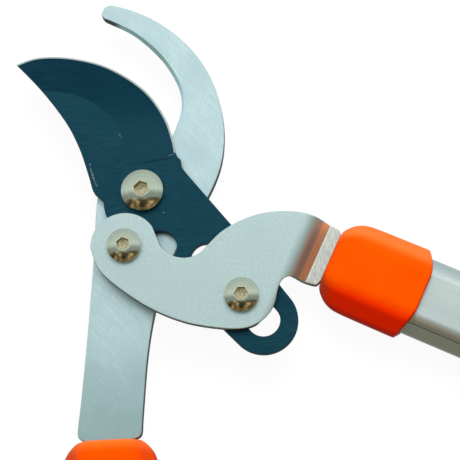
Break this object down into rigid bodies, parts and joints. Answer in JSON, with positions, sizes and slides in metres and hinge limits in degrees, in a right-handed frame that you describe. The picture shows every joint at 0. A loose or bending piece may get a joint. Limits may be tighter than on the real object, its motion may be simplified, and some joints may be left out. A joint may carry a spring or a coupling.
{
  "type": "bypass loppers",
  "caption": "Compound bypass loppers: curved blade over a hook, a lever plate that drives the blade through a slot, and two long tube handles with grips.",
  "frame": {"origin": "bottom centre of the bounding box of the whole loppers, lying flat with the screw heads up", "axes": "+Z is the plates' normal on the screw-head side, +Y runs along the fixed handle from the grip to the head, +X is the side that the moving handle swings on"},
  "size_m": [0.6382, 0.7492, 0.0304],
  "materials": {
    "hook_steel": "ground steel with fine diagonal grinding lines",
    "lever_zinc": "matte zinc with a fine blasted grain",
    "blade_coating": "semi-matte dark low-friction coating with a ground bright edge",
    "screw_steel": "polished nickel-plated button head",
    "nut_steel": "bright zinc",
    "bush_brass": "turned",
    "handle_aluminium": "satin anodised extrusion",
    "orange_plastic": "satin moulded",
    "insert_plastic": "moulded",
    "grip_rubber": "matte soft grip"
  },
  "bodies": {
    "hook_handle": {"blade_pivot_nut": "nut_steel", "blade_pivot_screw": "screw_steel", "blade_pivot_washer": "nut_steel", "fixed_end_cap": "orange_plastic", "fixed_ferrule": "orange_plastic", "fixed_grip": "grip_rubber", "fixed_rivet_1": "nut_steel", "fixed_rivet_2": "nut_steel", "fixed_tang_insert": "insert_plastic", "fixed_tube": "handle_aluminium", "hook_plate": "hook_steel", "lever_pivot_nut": "nut_steel", "lever_pivot_screw": "screw_steel", "lever_pivot_spacer": "bush_brass", "lever_pivot_washer": "nut_steel"},
    "lever_handle": {"lever_plate": "lever_zinc", "lever_ferrule": "orange_plastic", "lever_tube": "handle_aluminium", "lever_tang_insert": "insert_plastic", "lever_rivet_1": "nut_steel", "lever_rivet_2": "nut_steel", "lever_grip": "grip_rubber", "lever_end_cap": "orange_plastic", "drive_pin_screw": "screw_steel", "drive_pin_washer": "nut_steel", "drive_pin_nut": "nut_steel"},
    "blade": {"blade": "blade_coating"}
  },
  "joints": [
    {"name": "lever_swing", "type": "hinge", "parent": "hook_handle", "child": "lever_handle", "pos_m": [-0.27415, 0.26571, 0.0238], "axis": [0, 0, -1], "range_deg": [-30, 46]},
    {"name": "blade_swing", "type": "hinge", "parent": "hook_handle", "child": "blade", "pos_m": [-0.26626, 0.28951, 0.01965], "axis": [0, 0, -1], "range_deg": [-22.9, 35.1]}
  ],
  "couplings": [
    {"joint": "blade_swing", "follows": "lever_swing", "ratio": 0.76}
  ]
}
